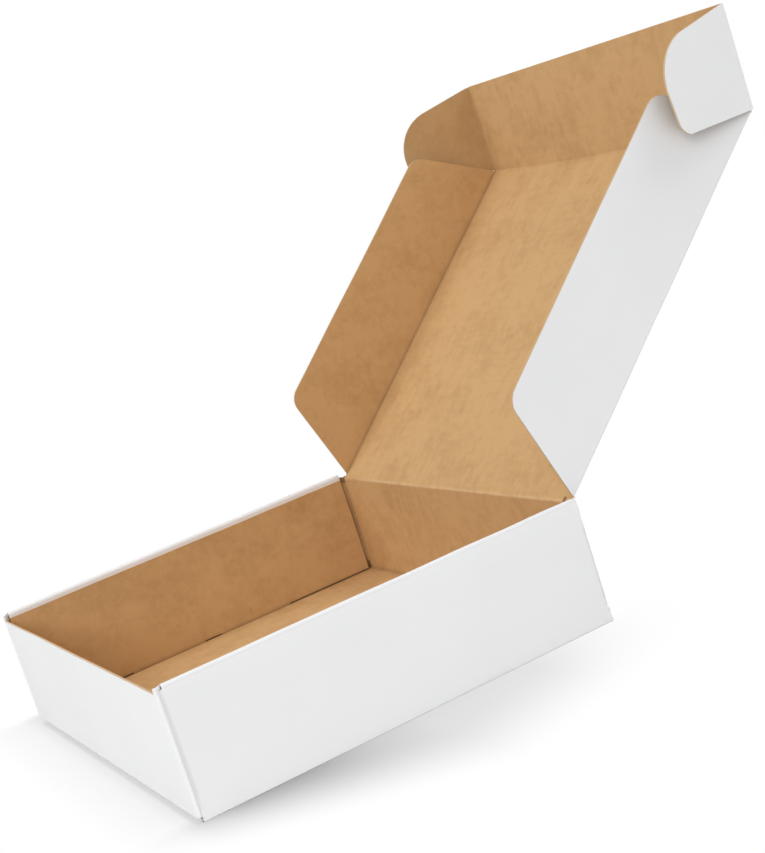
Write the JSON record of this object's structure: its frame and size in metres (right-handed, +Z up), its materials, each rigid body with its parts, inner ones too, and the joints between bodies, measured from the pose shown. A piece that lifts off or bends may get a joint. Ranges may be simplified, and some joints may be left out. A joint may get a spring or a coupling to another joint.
{
  "type": "mailer box",
  "caption": "Shallow folded mailer box with double rolled side walls and a hinged lid whose tuck flap and ears slide inside the tray.",
  "frame": {"origin": "centre of the tray's underside, on the surface the box stands on", "axes": "+X to the right along the front wall, +Y from the front wall to the hinged back wall, +Z up"},
  "size_m": [0.2892, 0.3978, 0.2688],
  "materials": {
    "tray_board": "matt white outside, brown kraft inside",
    "lid_board": "matt white outside, brown kraft inside"
  },
  "bodies": {
    "tray": {"tray": "tray_board"},
    "lid": {"lid": "lid_board"},
    "tuck_flap": {"tuck_flap": "lid_board"},
    "ear_left": {"ear_left": "lid_board"},
    "ear_right": {"ear_right": "lid_board"}
  },
  "joints": [
    {"name": "lid_hinge", "type": "hinge", "parent": "tray", "child": "lid", "pos_m": [0, 0.1139, 0.0619], "axis": [-1, 0, 0], "range_deg": [-138.3, 41.7]},
    {"name": "tuck_crease", "type": "hinge", "parent": "lid", "child": "tuck_flap", "pos_m": [0, 0.28271, 0.21231], "axis": [1, 0, 0], "range_deg": [-16.2, 53.4]},
    {"name": "ear_left_crease", "type": "hinge", "parent": "tuck_flap", "child": "ear_left", "pos_m": [-0.13452, 0.28271, 0.21231], "axis": [0, -0.014, 0.9999], "range_deg": [-3.2, 10.5]},
    {"name": "ear_right_crease", "type": "hinge", "parent": "tuck_flap", "child": "ear_right", "pos_m": [0.13452, 0.28271, 0.21231], "axis": [0, 0.014, -0.9999], "range_deg": [-3.2, 10.5]}
  ],
  "couplings": [
    {"joint": "tuck_crease", "follows": "lid_hinge", "ratio": -0.3861},
    {"joint": "ear_left_crease", "follows": "lid_hinge", "ratio": -0.0759},
    {"joint": "ear_right_crease", "follows": "lid_hinge", "ratio": -0.0759}
  ]
}
